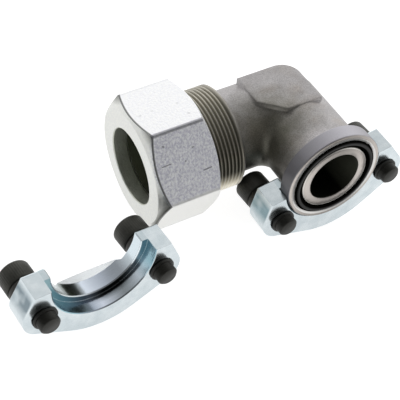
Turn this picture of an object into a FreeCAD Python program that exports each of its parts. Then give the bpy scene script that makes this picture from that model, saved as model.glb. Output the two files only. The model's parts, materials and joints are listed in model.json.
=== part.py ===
"""Split flange elbow: a forged 90 degree elbow with a flanged port and a tube
connection, its union nut and cutting ring, and two flange halves with their
captive screws.

The row frame has its origin at the centre of the port face. The port looks
along -Y, +Z is up, and the tube side leaves along -X, tipped down until the
nut touches the surface that the flange halves stand on.
"""

import FreeCAD, Part
import os
import Sketcher
from math import asin, atan2, cos, degrees, hypot, radians, sin
from FreeCAD import Placement, Rotation, Vector

# Driving dimensions, in millimetres and degrees
SIZES = {
    # Elbow, measured from the crossing of its two axes
    "port_reach": 49.5,
    "tube_reach": 66.5,
    "neck_radius": 21.2,
    "tube_neck_step": 0.2,
    "bend_radius": 22.8,
    "port_bore_radius": 13.7,
    "tube_bore_radius": 16.0,
    "bore_overrun": 4.0,
    # Flanged head on the port
    "head_radius": 25.4,
    "head_thickness": 8.0,
    "head_fillet": 1.0,
    "edge_break": 0.5,
    "groove_outer_radius": 22.3,
    "groove_width": 4.5,
    "groove_depth": 2.8,
    "seal_cord_radius": 1.765,
    # Tube socket with its 24 degree cone
    "tube_radius": 19.0,
    "socket_clearance": 0.15,
    "socket_depth": 16.0,
    "cone_mouth_radius": 20.5,
    "cone_angle": 12.0,
    "thread_radius": 26.0,
    "thread_start": 36.0,
    "thread_chamfer": 1.4,
    # Flat clamping blocks above and below the bend
    "block_rise": 0.4,
    "block_tube_side": 20.0,
    "block_port_side": 18.0,
    "block_back": 11.7,
    "block_right": 10.4,
    "upper_block_cut": 27.2,
    "lower_block_cut": 21.0,
    "block_corner_radius": 9.7,
    "block_edge": 0.35,
    # Union nut
    "nut_lead": 17.25,
    "nut_length": 32.5,
    "nut_flats": 60.0,
    "nut_turn": 25.1,
    "nut_bore_clearance": 0.2,
    "nut_bore_length": 7.0,
    "nut_front_chamfer_radius": 28.7,
    "nut_rear_chamfer_radius": 29.6,
    "chamfer_angle": 30.0,
    "thread_clearance": 0.05,
    # Cutting ring between cone and nut
    "ring_nose_depth": 4.0,
    "ring_clearance": 0.05,
    "ring_collar_radius": 22.4,
    "ring_rear_radius": 19.95,
    # Flange halves
    "flange_length": 79.0,
    "flange_radius": 36.5,
    "shoulder_length": 67.6,
    "split_gap": 0.4,
    "bolt_spacing": 58.7,
    "bolt_drop": 15.1,
    "bolt_hole_radius": 5.5,
    "hole_chamfer": 0.5,
    "ear_thickness": 14.0,
    "saddle_thickness": 20.7,
    "saddle_crown_radius": 27.5,
    "saddle_half_width": 14.5,
    "saddle_foot_half_width": 16.6,
    "saddle_edge_radius": 1.0,
    "half_bore_clearance": 1.2,
    "recess_clearance": 0.3,
    "recess_depth": 7.5,
    "outline_edge_radius": 1.0,
    # Screws with a spring washer under the head and a ring on the thread
    "screw_radius": 5.0,
    "screw_length": 25.0,
    "screw_chamfer": 0.9,
    "cap_radius": 7.9,
    "cap_height": 10.0,
    "cap_edge_radius": 1.2,
    "cap_foot_chamfer": 0.4,
    "key_flats": 8.0,
    "key_depth": 5.0,
    "key_cone_depth": 1.6,
    "washer_inner_radius": 5.4,
    "washer_width": 2.5,
    "washer_thickness": 2.5,
    "washer_height": 4.9,
    "washer_turn_share": 0.97,
    "seat_gap": 0.05,
    "keeper_radius": 6.15,
    "keeper_length": 1.0,
    # Where the pieces lie; a lean is a share of the lean that the hole allows
    "seated_swivel": -12.5,
    "seated_play": 0.6,
    "seated_lean_share": 0.78,
    "loose_lean_share": 0.45,
    "loose_x": -124.6,
    "loose_y": -8.15,
    "loose_turn": 3.8,
}

doc = FreeCAD.newDocument("split_flange_elbow")
sheet = doc.addObject("Spreadsheet::Sheet", "sizes")
for row, (word, number) in enumerate(SIZES.items(), start=1):
    sheet.set(f"A{row}", word)
    sheet.set(f"B{row}", str(number))
    sheet.setAlias(f"B{row}", word)
doc.recompute()


def from_sheet(text):
    """Turn spaced words of the sheet into references to its cells."""
    return " ".join(f"sizes.{word}" if word in SIZES else word for word in text.split())


def value(text):
    """Work out a spaced expression with the sheet's numbers."""
    result = sheet.evalExpression(from_sheet(text))
    return getattr(result, "Value", result)


def bind(thing, **sizes):
    """Tie properties of an object to expressions of the sheet."""
    for name, text in sizes.items():
        thing.setExpression(name.replace("__", "."), from_sheet(text))


# Shared lengths, as expressions of the sheet
NUT_FRONT = "( tube_reach + nut_lead )"
NUT_CORNER = "nut_flats / 2 / cos( 30 )"
NUT_BORE = "( tube_radius + nut_bore_clearance )"
NUT_THREAD = "( thread_radius + thread_clearance )"
SOCKET = "( tube_radius + socket_clearance )"
HALF_BORE = "( neck_radius + half_bore_clearance )"
TUBE_NECK = "( neck_radius - tube_neck_step )"
BLOCK_HEIGHT = "( neck_radius + block_rise )"
RECESS = "( head_radius + recess_clearance )"
EAR_RADIUS = "( flange_length - bolt_spacing ) / 2"
CROWN_EDGE = (
    "( saddle_thickness - saddle_crown_radius"
    " + sqrt( saddle_crown_radius ^ 2 - saddle_half_width ^ 2 ) )"
)
FULL_LEAN = "atan( ( bolt_hole_radius - screw_radius ) * 2 / ear_thickness )"


class Outline:
    """A closed sketch outline whose corners are expressions of the sheet."""

    def __init__(self, sketch):
        self.sketch = sketch

    def fix(self, edge, point, corner):
        """Hold an end of an edge at a corner."""
        for kind, text in zip(("DistanceX", "DistanceY"), corner):
            number = self.sketch.addConstraint(
                Sketcher.Constraint(kind, -1, 1, edge, point, value(text))
            )
            self.sketch.setExpression(f"Constraints[{number}]", from_sheet(text))

    def closed(self, corners, arcs=None):
        """Draw edges from corner to corner; arcs maps an edge to its radius and side.

        The side is +1 where the arc's centre lies left of the way the outline
        runs, and -1 where it lies right of it.
        """
        arcs = arcs or {}
        places = [Vector(value(x), value(y), 0) for x, y in corners]
        ends = []
        for index, here in enumerate(places):
            there = places[(index + 1) % len(places)]
            if index in arcs:
                edge, first, last = self.arc(here, there, *arcs[index])
            else:
                edge = self.sketch.addGeometry(Part.LineSegment(here, there), False)
                first, last = 1, 2
            ends.append((edge, first, last))
        for index, (edge, first, last) in enumerate(ends):
            following, start, _ = ends[(index + 1) % len(ends)]
            self.sketch.addConstraint(Sketcher.Constraint("Coincident", edge, last, following, start))
            self.fix(edge, first, corners[index])

    def arc(self, here, there, radius, side):
        """Add an arc between two places, with its radius tied to the sheet."""
        size = value(radius)
        chord = there - here
        rise = max(size * size - chord.Length ** 2 / 4, 0) ** 0.5
        left = Vector(-chord.y, chord.x, 0).normalize()
        centre = here + chord / 2 + left * rise * side
        start = atan2(here.y - centre.y, here.x - centre.x)
        stop = atan2(there.y - centre.y, there.x - centre.x)
        if side < 0:
            start, stop = stop, start
        circle = Part.Circle(centre, Vector(0, 0, 1), size)
        edge = self.sketch.addGeometry(Part.ArcOfCircle(circle, start, stop), False)
        number = self.sketch.addConstraint(Sketcher.Constraint("Radius", edge, size))
        self.sketch.setExpression(f"Constraints[{number}]", from_sheet(radius))
        return (edge, 1, 2) if side > 0 else (edge, 2, 1)

    def circle(self, x, y, radius):
        """Draw a circle with its centre and radius tied to the sheet."""
        place = Vector(value(x), value(y), 0)
        edge = self.sketch.addGeometry(Part.Circle(place, Vector(0, 0, 1), value(radius)), False)
        self.fix(edge, 3, (x, y))
        number = self.sketch.addConstraint(Sketcher.Constraint("Radius", edge, value(radius)))
        self.sketch.setExpression(f"Constraints[{number}]", from_sheet(radius))

    def hexagon(self, corner_radius, turn):
        """Draw a hexagon round the origin, its first corner turned from the +Y way."""
        corners = []
        for step in range(6):
            angle = f"{turn} + {60 * step}"
            corners.append((f"0 - {corner_radius} * sin( {angle} )", f"{corner_radius} * cos( {angle} )"))
        self.closed(corners)


def body_named(label):
    body = doc.addObject("PartDesign::Body", label)
    body.Label = label
    return body


def sketch_on(body, name, role, offset=None):
    """Make a sketch on one of the body's own origin planes, moved along its normal."""
    plane = [item for item in body.Origin.OriginFeatures if item.Role == role][0]
    sketch = body.newObject("Sketcher::SketchObject", f"{body.Name}_{name}")
    sketch.AttachmentSupport = [(plane, "")]
    sketch.MapMode = "FlatFace"
    if offset is not None:
        bind(sketch, AttachmentOffset__Base__z=offset)
    return sketch


def feature(body, kind, name, sketch, **sizes):
    """Add a feature made from a sketch, with its sizes tied to the sheet."""
    item = body.newObject(f"PartDesign::{kind}", f"{body.Name}_{name}")
    item.Profile = sketch
    bind(item, **sizes)
    return item


def revolved(body, name, axis, corners, arcs=None, cut=False):
    """Revolve an outline, drawn in the XY plane, about the X or the Y axis."""
    sketch = sketch_on(body, f"{name}_profile", "XY_Plane")
    Outline(sketch).closed(corners, arcs)
    item = feature(body, "Groove" if cut else "Revolution", name, sketch)
    item.ReferenceAxis = (sketch, ["H_Axis" if axis == "X" else "V_Axis"])
    item.Angle = 360.0
    doc.recompute()
    return item


def removes(body, make):
    """Run a step that must take material away, and check that it did."""
    before = body.Shape.Volume
    make()
    doc.recompute()
    if body.Shape.Volume >= before - 1e-3:
        raise ValueError(f"a cut of {body.Label} removed nothing")


def edges_where(shape, wanted):
    """Name the edges of a shape that pass a test."""
    return [f"Edge{number}" for number, edge in enumerate(shape.Edges, start=1) if wanted(edge)]


def rounded(body, kind, name, wanted, **sizes):
    """Fillet or chamfer the edges of the body's tip that pass a test."""
    base = body.Tip
    names = edges_where(base.Shape, wanted)
    item = body.newObject(f"PartDesign::{kind}", f"{body.Name}_{name}")
    item.Base = (base, names)
    bind(item, **sizes)
    body.Tip = item
    doc.recompute()
    if not names or not item.Shape.isValid() or len(item.Shape.Solids) != 1:
        raise ValueError(f"{item.Name} failed on {len(names)} edges")
    return item


# Rest position of the tube side: the nut's lowest corner meets the level
# that both flange halves stand on

nut_corner_reach = value(NUT_FRONT) - (
    value(NUT_CORNER) - value("nut_front_chamfer_radius")
) * sin(radians(value("chamfer_angle"))) / cos(radians(value("chamfer_angle")))
nut_corner_depth = value(NUT_CORNER) * cos(radians(value("nut_turn")))
rest_tilt = degrees(
    asin(value("flange_radius") / hypot(nut_corner_reach, nut_corner_depth))
    - atan2(nut_corner_depth, nut_corner_reach)
)
ELBOW_PLACE = Placement(
    Vector(0, value("port_reach"), 0), Rotation(Vector(0, 1, 0), -rest_tilt)
)


def make_elbow_body():
    body = body_named("elbow_body")
    # Port side with the flanged head, turned about the Y axis
    port = "0 - port_reach"
    back = f"{port} + head_thickness"
    revolved(body, "port_side", "Y", [
        ("0", "0"),
        ("0", port),
        ("head_radius - edge_break", port),
        ("head_radius", f"{port} + edge_break"),
        ("head_radius", f"{back} - edge_break"),
        ("head_radius - edge_break", back),
        ("neck_radius + head_fillet", back),
        ("neck_radius", f"{back} + head_fillet"),
        ("neck_radius", "0"),
    ], arcs={6: ("head_fillet", -1)})
    # Tube side with the threaded end, rounded off past the crossing
    mouth = "0 - tube_reach"
    start = "0 - thread_start"
    revolved(body, "tube_side", "X", [
        ("neck_radius", "0"),
        (f"0 - sqrt( neck_radius ^ 2 - {TUBE_NECK} ^ 2 )", TUBE_NECK),
        (f"{start} + thread_chamfer", TUBE_NECK),
        (f"{start} + thread_chamfer", "thread_radius - thread_chamfer"),
        (start, "thread_radius"),
        (f"{mouth} + thread_chamfer", "thread_radius"),
        (mouth, "thread_radius - thread_chamfer"),
        (mouth, "0"),
    ], arcs={0: ("neck_radius", 1)})
    # Inside of the bend, a quarter turn of the tube side's round section
    section = sketch_on(body, "bend_section", "YZ_Plane", "0 - bend_radius")
    Outline(section).circle("0", "0", TUBE_NECK)
    axis = section.addGeometry(
        Part.LineSegment(Vector(-value("bend_radius"), -10, 0), Vector(-value("bend_radius"), 10, 0)), True
    )
    section.addConstraint(Sketcher.Constraint("Vertical", axis))
    number = section.addConstraint(
        Sketcher.Constraint("DistanceX", -1, 1, axis, 1, -value("bend_radius"))
    )
    section.setExpression(f"Constraints[{number}]", from_sheet("0 - bend_radius"))
    bend = feature(body, "Revolution", "bend", section)
    bend.ReferenceAxis = (section, ["Axis0"])
    bend.Angle = 90.0
    bend.Reversed = True
    # Flat clamping blocks: a rounded square with its inner corner cut off
    for name, cut in (("upper", "upper_block_cut"), ("lower", "lower_block_cut")):
        block = sketch_on(body, f"{name}_block_outline", "XY_Plane")
        Outline(block).closed([
            ("0 - block_tube_side", "block_back"),
            ("0 - block_tube_side", f"block_tube_side - {cut}"),
            (f"block_port_side - {cut}", "0 - block_port_side"),
            ("block_right", "0 - block_port_side"),
            ("block_right", "block_back - block_corner_radius"),
            ("block_right - block_corner_radius", "block_back"),
        ], arcs={4: ("block_corner_radius", 1)})
        pad = feature(body, "Pad", f"{name}_block", block, Length=BLOCK_HEIGHT)
        pad.Reversed = name == "lower"
        doc.recompute()
    top = value(BLOCK_HEIGHT)
    rounded(body, "Fillet", "block_edges", lambda edge: all(
        abs(abs(vertex.Z) - top) < 1e-6 for vertex in edge.Vertexes
    ), Radius="block_edge")
    # Seal groove, port bore and tube socket
    groove_floor = f"{port} + groove_depth"
    groove_inner = "groove_outer_radius - groove_width"
    removes(body, lambda: revolved(body, "seal_groove", "Y", [
        ("groove_outer_radius", port),
        ("groove_outer_radius", groove_floor),
        (groove_inner, groove_floor),
        (groove_inner, port),
    ], cut=True))
    removes(body, lambda: revolved(body, "port_bore", "Y", [
        ("0", port),
        ("port_bore_radius", port),
        ("port_bore_radius", "0"),
        ("0", "0"),
    ], cut=True))
    cone_length = f"( cone_mouth_radius - {SOCKET} ) / tan( cone_angle )"
    stop = f"{mouth} + socket_depth"
    removes(body, lambda: revolved(body, "tube_socket", "X", [
        (mouth, "0"),
        (mouth, "cone_mouth_radius"),
        (f"{mouth} + {cone_length}", SOCKET),
        (stop, SOCKET),
        (stop, "tube_bore_radius"),
        ("bore_overrun", "tube_bore_radius"),
        ("bore_overrun + tube_bore_radius / 2", "0"),
    ], cut=True))
    body.Placement = ELBOW_PLACE
    return body


def make_flange_seal():
    """O-ring resting against the outer wall of its groove."""
    body = body_named("flange_o_ring")
    sketch = sketch_on(body, "cord_section", "XY_Plane")
    Outline(sketch).circle(
        "groove_outer_radius - seal_cord_radius - seat_gap",
        "0 - port_reach + groove_depth - seal_cord_radius - seat_gap",
        "seal_cord_radius",
    )
    ring = feature(body, "Revolution", "cord", sketch)
    ring.ReferenceAxis = (sketch, ["V_Axis"])
    ring.Angle = 360.0
    body.Placement = ELBOW_PLACE
    return body


def make_union_nut():
    body = body_named("union_nut")
    front = f"0 - {NUT_FRONT}"
    rear = f"{front} + nut_length"
    outline = sketch_on(body, "hexagon", "YZ_Plane", front)
    Outline(outline).hexagon(NUT_CORNER, "nut_turn")
    feature(body, "Pad", "prism", outline, Length="nut_length")
    doc.recompute()
    clear = "nut_flats"
    slope = "tan( chamfer_angle )"
    removes(body, lambda: revolved(body, "front_chamfer", "X", [
        (front, "nut_front_chamfer_radius"),
        (f"{front} + ( {clear} - nut_front_chamfer_radius ) * {slope}", clear),
        (front, clear),
    ], cut=True))
    removes(body, lambda: revolved(body, "rear_chamfer", "X", [
        (rear, "nut_rear_chamfer_radius"),
        (rear, clear),
        (f"{rear} - ( {clear} - nut_rear_chamfer_radius ) * {slope}", clear),
    ], cut=True))
    shoulder = f"{front} + nut_bore_length"
    removes(body, lambda: revolved(body, "bore", "X", [
        (front, "0"),
        (front, f"{NUT_BORE} + edge_break"),
        (f"{front} + edge_break", NUT_BORE),
        (shoulder, NUT_BORE),
        (f"{shoulder} + {NUT_THREAD} - {NUT_BORE}", NUT_THREAD),
        (f"{rear} - edge_break", NUT_THREAD),
        (rear, f"{NUT_THREAD} + edge_break"),
        (rear, "0"),
    ], cut=True))
    body.Placement = ELBOW_PLACE
    return body


def make_cutting_ring():
    """Ring with its taper in the body's cone and its 45 degree rear in the nut."""
    body = body_named("cutting_ring")
    mouth = "0 - tube_reach"
    shoulder = f"( 0 - {NUT_FRONT} + nut_bore_length )"
    taper = "tan( cone_angle )"
    nose = f"cone_mouth_radius - ring_nose_depth * {taper} - ring_clearance"
    rear_gap = "2 * ring_clearance"
    collar_start = f"{mouth} - ( ring_collar_radius - cone_mouth_radius + ring_clearance ) / {taper} / 3"
    revolved(body, "ring", "X", [
        (f"{mouth} + ring_nose_depth", SOCKET),
        (f"{mouth} + ring_nose_depth", nose),
        (f"{mouth} - ring_nose_depth / 4", f"cone_mouth_radius + ring_nose_depth / 4 * {taper} - ring_clearance"),
        (collar_start, "ring_collar_radius"),
        (f"{shoulder} + ring_collar_radius - {NUT_BORE} + {rear_gap}", "ring_collar_radius"),
        (f"{shoulder} + ring_rear_radius - {NUT_BORE} + {rear_gap}", "ring_rear_radius"),
        (f"{shoulder} + ring_rear_radius - {NUT_BORE} + {rear_gap}", SOCKET),
    ])
    body.Placement = ELBOW_PLACE
    return body


def ear_tangents():
    """Where the ear's round end meets the straight flanks, as expressions."""
    hole_x = "bolt_spacing / 2"
    hole_y = "( 0 - bolt_drop )"
    # Upper flank: from the shoulder's corner at the split to the ear
    reach_x = "( shoulder_length / 2 - bolt_spacing / 2 )"
    reach_y = "( bolt_drop - split_gap )"
    reach = f"sqrt( {reach_x} ^ 2 + {reach_y} ^ 2 )"
    upper = f"( atan( {reach_y} / {reach_x} ) - acos( {EAR_RADIUS} / {reach} ) )"
    # Lower flank: common tangent of the ear and the flange's round edge
    spread = "sqrt( ( bolt_spacing / 2 ) ^ 2 + bolt_drop ^ 2 )"
    turn = f"acos( ( flange_radius - {EAR_RADIUS} ) / {spread} )"
    lower = f"( 0 deg - atan( bolt_drop / ( bolt_spacing / 2 ) ) - {turn} )"
    return (
        (f"{hole_x} + {EAR_RADIUS} * cos( {upper} )", f"{hole_y} + {EAR_RADIUS} * sin( {upper} )"),
        (f"{hole_x} + {EAR_RADIUS} * cos( {lower} )", f"{hole_y} + {EAR_RADIUS} * sin( {lower} )"),
        (f"flange_radius * cos( {lower} )", f"flange_radius * sin( {lower} )"),
    )


def make_flange_half(label, place):
    """Half of the flange: two ears, a thicker saddle and a stepped half bore."""
    body = body_named(label)
    split = "0 - split_gap"
    upper, lower, edge = ear_tangents()
    left = [(f"0 - ( {x} )", y) for x, y in (upper, lower, edge)]
    outline = sketch_on(body, "outline", "XZ_Plane")
    Outline(outline).closed([
        ("0 - shoulder_length / 2", split),
        *left,
        edge,
        lower,
        upper,
        ("shoulder_length / 2", split),
    ], arcs={1: (EAR_RADIUS, 1), 3: ("flange_radius", 1), 5: (EAR_RADIUS, 1)})
    slab = feature(body, "Pad", "slab", outline, Length="saddle_thickness")
    slab.Reversed = True
    doc.recompute()
    # The ears are thinner than the saddle, whose back is crowned
    backs = sketch_on(body, "ear_backs", "XY_Plane")
    over = "saddle_thickness + edge_break"
    Outline(backs).closed([
        ("0 - flange_length", over),
        ("0 - flange_length", "ear_thickness"),
        ("0 - saddle_foot_half_width", "ear_thickness"),
        ("0 - saddle_half_width", CROWN_EDGE),
        ("saddle_half_width", CROWN_EDGE),
        ("saddle_foot_half_width", "ear_thickness"),
        ("flange_length", "ear_thickness"),
        ("flange_length", over),
    ], arcs={3: ("saddle_crown_radius", -1)})

    def thin_ears():
        cut = feature(body, "Pocket", "ears", backs)
        cut.Type = "ThroughAll"
        cut.Midplane = True

    removes(body, thin_ears)
    level = -value("split_gap")
    behind = value("ear_thickness") - 0.1

    def points(edge):
        return [vertex.Point for vertex in edge.Vertexes]

    def upright(edge):
        first, *others = points(edge)
        return all(hypot(point.x - first.x, point.y - first.y) < 1e-6 for point in others)

    def saddle_edge(edge):
        return upright(edge) and min(point.y for point in points(edge)) > behind

    def rear_rim(edge):
        return min(point.y for point in points(edge)) > behind and not upright(edge)

    def front_rim(edge):
        low = min(point.z for point in points(edge)) < level - 0.1
        return low and max(abs(point.y) for point in points(edge)) < 0.1

    rounded(body, "Fillet", "saddle_edges", saddle_edge, Radius="saddle_edge_radius")
    rounded(body, "Fillet", "rear_rim", rear_rim, Radius="outline_edge_radius")
    rounded(body, "Fillet", "front_rim", front_rim, Radius="outline_edge_radius / 2")
    # Stepped half bore: a recess for the head, and a smaller bore round the neck
    removes(body, lambda: revolved(body, "half_bore", "Y", [
        ("0", "0 - edge_break"),
        (f"{RECESS} + edge_break", "0 - edge_break"),
        (f"{RECESS} + edge_break", "0"),
        (RECESS, "edge_break"),
        (RECESS, "recess_depth"),
        (f"{HALF_BORE} + edge_break", "recess_depth"),
        (HALF_BORE, "recess_depth + edge_break"),
        (HALF_BORE, over),
        ("0", over),
    ], cut=True))

    def bore_rim(edge):
        ends = points(edge)
        round_bore = all(abs(hypot(point.x, point.z) - value(HALF_BORE)) < 1e-3 for point in ends)
        return round_bore and min(point.y for point in ends) > behind

    rounded(body, "Chamfer", "bore_rim", bore_rim, Size="edge_break")
    for side, sign in (("left", "0 - "), ("right", "")):
        holes = sketch_on(body, f"{side}_hole_circle", "XZ_Plane")
        Outline(holes).circle(f"{sign}bolt_spacing / 2", "0 - bolt_drop", "bolt_hole_radius")

        def drill():
            hole = feature(body, "Pocket", f"{side}_hole", holes)
            hole.Type = "ThroughAll"

        removes(body, drill)

    def hole_rim(edge):
        round_edge = isinstance(edge.Curve, Part.Circle)
        return round_edge and abs(edge.Curve.Radius - value("bolt_hole_radius")) < 1e-6

    rounded(body, "Chamfer", "hole_rims", hole_rim, Size="hole_chamfer")
    body.Placement = place
    return body


def make_screw(label, place):
    """Cap screw along Y, from the underside of its head, with a hexagon socket."""
    body = body_named(label)
    revolved(body, "turned", "Y", [
        ("0", "0 - screw_length"),
        ("screw_radius - screw_chamfer", "0 - screw_length"),
        ("screw_radius", "0 - screw_length + screw_chamfer"),
        ("screw_radius", "0"),
        ("cap_radius - cap_foot_chamfer", "0"),
        ("cap_radius", "cap_foot_chamfer"),
        ("cap_radius", "cap_height - cap_edge_radius"),
        ("cap_radius - cap_edge_radius", "cap_height"),
        ("0", "cap_height"),
    ], arcs={6: ("cap_edge_radius", 1)})
    key = sketch_on(body, "key_hexagon", "XZ_Plane", "0 - cap_height")
    Outline(key).hexagon("key_flats / 2 / cos( 30 )", "0")

    def broach():
        socket = feature(body, "Pocket", "key_socket", key, Length="key_depth")
        socket.Reversed = True

    removes(body, broach)
    floor = "cap_height - key_depth"
    removes(body, lambda: revolved(body, "key_drill_point", "Y", [
        ("0", floor),
        ("key_flats / 2", floor),
        ("0", f"{floor} - key_cone_depth"),
    ], cut=True))
    body.Placement = place
    return body


def make_spring_washer(label, place):
    """One turn of a square section, climbing from the ear's back."""
    body = body_named(label)
    section = sketch_on(body, "section", "XY_Plane")
    rim = "washer_inner_radius + washer_width"
    Outline(section).closed([
        ("washer_inner_radius", "seat_gap"),
        (rim, "seat_gap"),
        (rim, "seat_gap + washer_thickness"),
        ("washer_inner_radius", "seat_gap + washer_thickness"),
    ])
    climb = "( washer_height - 2 * seat_gap - washer_thickness )"
    coil = body.newObject("PartDesign::AdditiveHelix", f"{body.Name}_coil")
    coil.Profile = section
    coil.ReferenceAxis = (section, ["V_Axis"])
    coil.Mode = "pitch-height-angle"
    bind(coil, Pitch=f"{climb} / washer_turn_share", Height=climb)
    body.Placement = place
    return body


def make_keeper(label, place):
    """Ring that grips the thread in front of the ear and keeps the screw in it."""
    body = body_named(label)
    bore = "screw_radius + seat_gap / 2"
    revolved(body, "ring", "Y", [
        (bore, "0"),
        ("keeper_radius", "0"),
        ("keeper_radius", "edge_break - keeper_length"),
        ("keeper_radius - edge_break", "0 - keeper_length"),
        (bore, "0 - keeper_length"),
    ])
    body.Placement = place
    return body


def make_half_set(prefix, place, lean_share):
    """A flange half with its two captive screws, which lean in their holes.

    Each screw leans towards the left about the middle of its hole. Its head
    and its keeper stand off the washer and the ear by what their rims dip.
    """
    make_flange_half(f"{prefix}_half", place)
    lean = value(f"{lean_share} * {FULL_LEAN}")
    dip = sin(radians(lean))
    middle = value("ear_thickness") / 2
    gap = value("seat_gap")
    cap_foot = middle + value("washer_height") + value("cap_radius") * dip + gap
    keeper_face = -middle - value("keeper_radius") * dip - gap
    washer_height = middle + value("washer_height") / 2
    for side, sign in (("left", -1), ("right", 1)):
        hole = Vector(sign * value("bolt_spacing / 2"), middle, -value("bolt_drop"))
        leaned = place.multiply(Placement(hole, Rotation(Vector(0, 0, 1), lean)))
        aside = Vector(-washer_height * sin(radians(lean)) / cos(radians(lean)), middle, 0)
        make_screw(f"{prefix}_screw_{side}", leaned.multiply(Placement(Vector(0, cap_foot, 0), Rotation())))
        make_spring_washer(f"{prefix}_spring_washer_{side}", place.multiply(Placement(hole + aside, Rotation())))
        make_keeper(f"{prefix}_keeper_{side}", leaned.multiply(Placement(Vector(0, keeper_face, 0), Rotation())))


make_elbow_body()
make_flange_seal()
make_union_nut()
make_cutting_ring()
make_half_set("seated", Placement(
    Vector(0, value("head_thickness - recess_depth + seated_play"), 0),
    Rotation(Vector(0, 1, 0), value("seated_swivel"))
), "seated_lean_share")
make_half_set("loose", Placement(
    Vector(value("loose_x"), value("loose_y"), 0), Rotation(Vector(0, 0, 1), value("loose_turn"))
), "loose_lean_share")
doc.recompute()

for item in doc.Objects:
    if "Invalid" in item.State or "Error" in item.State:
        raise ValueError(f"{item.Name} failed: {item.State}")

os.makedirs("parts", exist_ok=True)
for body in doc.findObjects("PartDesign::Body"):
    shape = body.Shape
    if shape.isNull() or not shape.isValid() or len(shape.Solids) != 1:
        raise ValueError(f"{body.Label} isn't one valid solid")
    shape.exportStep(f"parts/{body.Label}.step")
    print(f"{body.Label}: {shape.Volume / 1000:.2f} cm3")
print(f"rest tilt {rest_tilt:.2f} degrees")
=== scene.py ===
"""Looks of the split flange elbow: threads, metal finishes, floor, light, camera.

All lengths are in metres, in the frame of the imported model: the port looks
along -Y, the tube side leaves along -X, and the floor is at the lowest point.
"""

import json
import math

import bmesh
import bpy
from mathutils import Euler, Matrix, Vector

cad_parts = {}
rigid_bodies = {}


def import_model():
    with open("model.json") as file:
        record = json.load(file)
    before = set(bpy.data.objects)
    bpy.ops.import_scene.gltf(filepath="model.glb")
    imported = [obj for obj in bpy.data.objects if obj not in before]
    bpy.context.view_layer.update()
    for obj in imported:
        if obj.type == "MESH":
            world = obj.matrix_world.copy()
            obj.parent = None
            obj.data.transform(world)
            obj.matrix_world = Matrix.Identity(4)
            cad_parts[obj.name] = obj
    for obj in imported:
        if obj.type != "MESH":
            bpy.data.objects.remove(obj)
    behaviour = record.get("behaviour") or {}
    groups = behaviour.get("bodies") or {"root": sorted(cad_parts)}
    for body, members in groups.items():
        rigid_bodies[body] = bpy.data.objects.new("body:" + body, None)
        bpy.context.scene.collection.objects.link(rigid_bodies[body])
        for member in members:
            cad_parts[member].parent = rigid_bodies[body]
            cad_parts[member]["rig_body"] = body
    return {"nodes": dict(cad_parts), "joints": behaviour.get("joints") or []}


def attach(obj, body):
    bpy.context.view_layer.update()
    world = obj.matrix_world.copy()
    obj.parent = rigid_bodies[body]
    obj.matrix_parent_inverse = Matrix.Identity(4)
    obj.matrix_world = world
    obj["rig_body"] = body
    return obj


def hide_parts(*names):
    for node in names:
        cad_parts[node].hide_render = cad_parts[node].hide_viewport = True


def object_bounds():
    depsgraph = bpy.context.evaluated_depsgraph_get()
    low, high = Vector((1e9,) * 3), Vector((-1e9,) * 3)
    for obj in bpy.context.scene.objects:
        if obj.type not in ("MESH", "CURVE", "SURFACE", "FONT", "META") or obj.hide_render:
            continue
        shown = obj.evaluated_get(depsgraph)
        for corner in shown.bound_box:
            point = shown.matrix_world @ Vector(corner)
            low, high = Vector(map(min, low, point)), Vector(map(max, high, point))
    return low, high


MM = 0.001

# Sizes of the elbow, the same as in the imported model
PORT_NECK_RADIUS = 21.2 * MM
TUBE_NECK_RADIUS = 21.0 * MM
BEND_RADIUS = 22.8 * MM
HEAD_RADIUS = 25.4 * MM
HEAD_THICKNESS = 8.0 * MM
GROOVE_INNER_RADIUS = 17.8 * MM
GROOVE_OUTER_RADIUS = 22.3 * MM
GROOVE_DEPTH = 2.8 * MM
SEAL_RADIUS = 20.5 * MM
PORT_BORE_RADIUS = 13.7 * MM
# The bores that meet in the bend lie within this distance of its centre line
BEND_BORE_REACH = 17.0 * MM
# The tube side's bores lie within this radius, from this far along its axis
TUBE_BORE_REACH = 20.0 * MM
TUBE_BORE_START = 24.0 * MM
# Middle of the crotch between the two necks
CROTCH = (-22.0 * MM, 27.5 * MM, 0.0)

# Sizes of the nut, its front by the distance from the elbow's centre. Flats and
# edges go by their direction square to the axis, in degrees from straight up toward -Y
NUT_FRONT = 83.75 * MM
NUT_FACE_RADIUS = 28.7 * MM
NUT_CORNER_RADIUS = 34.64 * MM
NUT_BORE_RADIUS = 19.2 * MM
NUT_FLAT_REACH = 30.0 * MM
NUT_CHAMFER = 30.0
NUT_FRONT_FLAT = 55.1
NUT_LOWER_FLAT = 115.1

# Sizes and places of the flange halves; a place is on the bore's axis, in the
# plane of the half's face, and the axis points to the half's back
HALF_GROOVE_RADIUS = 25.9 * MM
HALF_BORE_RADIUS = 22.4 * MM
HALF_END = 39.5 * MM
RECESS_DEPTH = 7.5 * MM
SEATED_PLACE = (0.0, 1.1 * MM, 0.0)
SEATED_SWIVEL = math.radians(-12.5)
LOOSE_PLACE = (-124.6 * MM, -8.15 * MM, 0.0)
LOOSE_AXIS = (-0.0663, 0.9978, 0.0)
# Where a half's bore begins to open out toward its back, and how steeply
HALF_FLARE = 15.5 * MM
FLARE_SLOPE = 0.6

# Sizes of the cap screws
SCREW_RADIUS = 5.0 * MM
SCREW_PITCH = 1.5 * MM
SCREW_THREAD_LENGTH = 18.0 * MM
SCREW_CHAMFER = 0.9 * MM
CAP_RADIUS = 7.9 * MM
CAP_HEIGHT = 10.0 * MM
KNURLS = 44

# The elbow's thread, by the distance from the elbow's centre; THREAD_CREST is where
# one of its crests lies on the -Y side
THREAD_RADIUS = 26.0 * MM
THREAD_PITCH = 2.0 * MM
THREAD_START = 36.0 * MM
THREAD_END = 65.1 * MM
THREAD_CREST = 38.15 * MM

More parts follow.
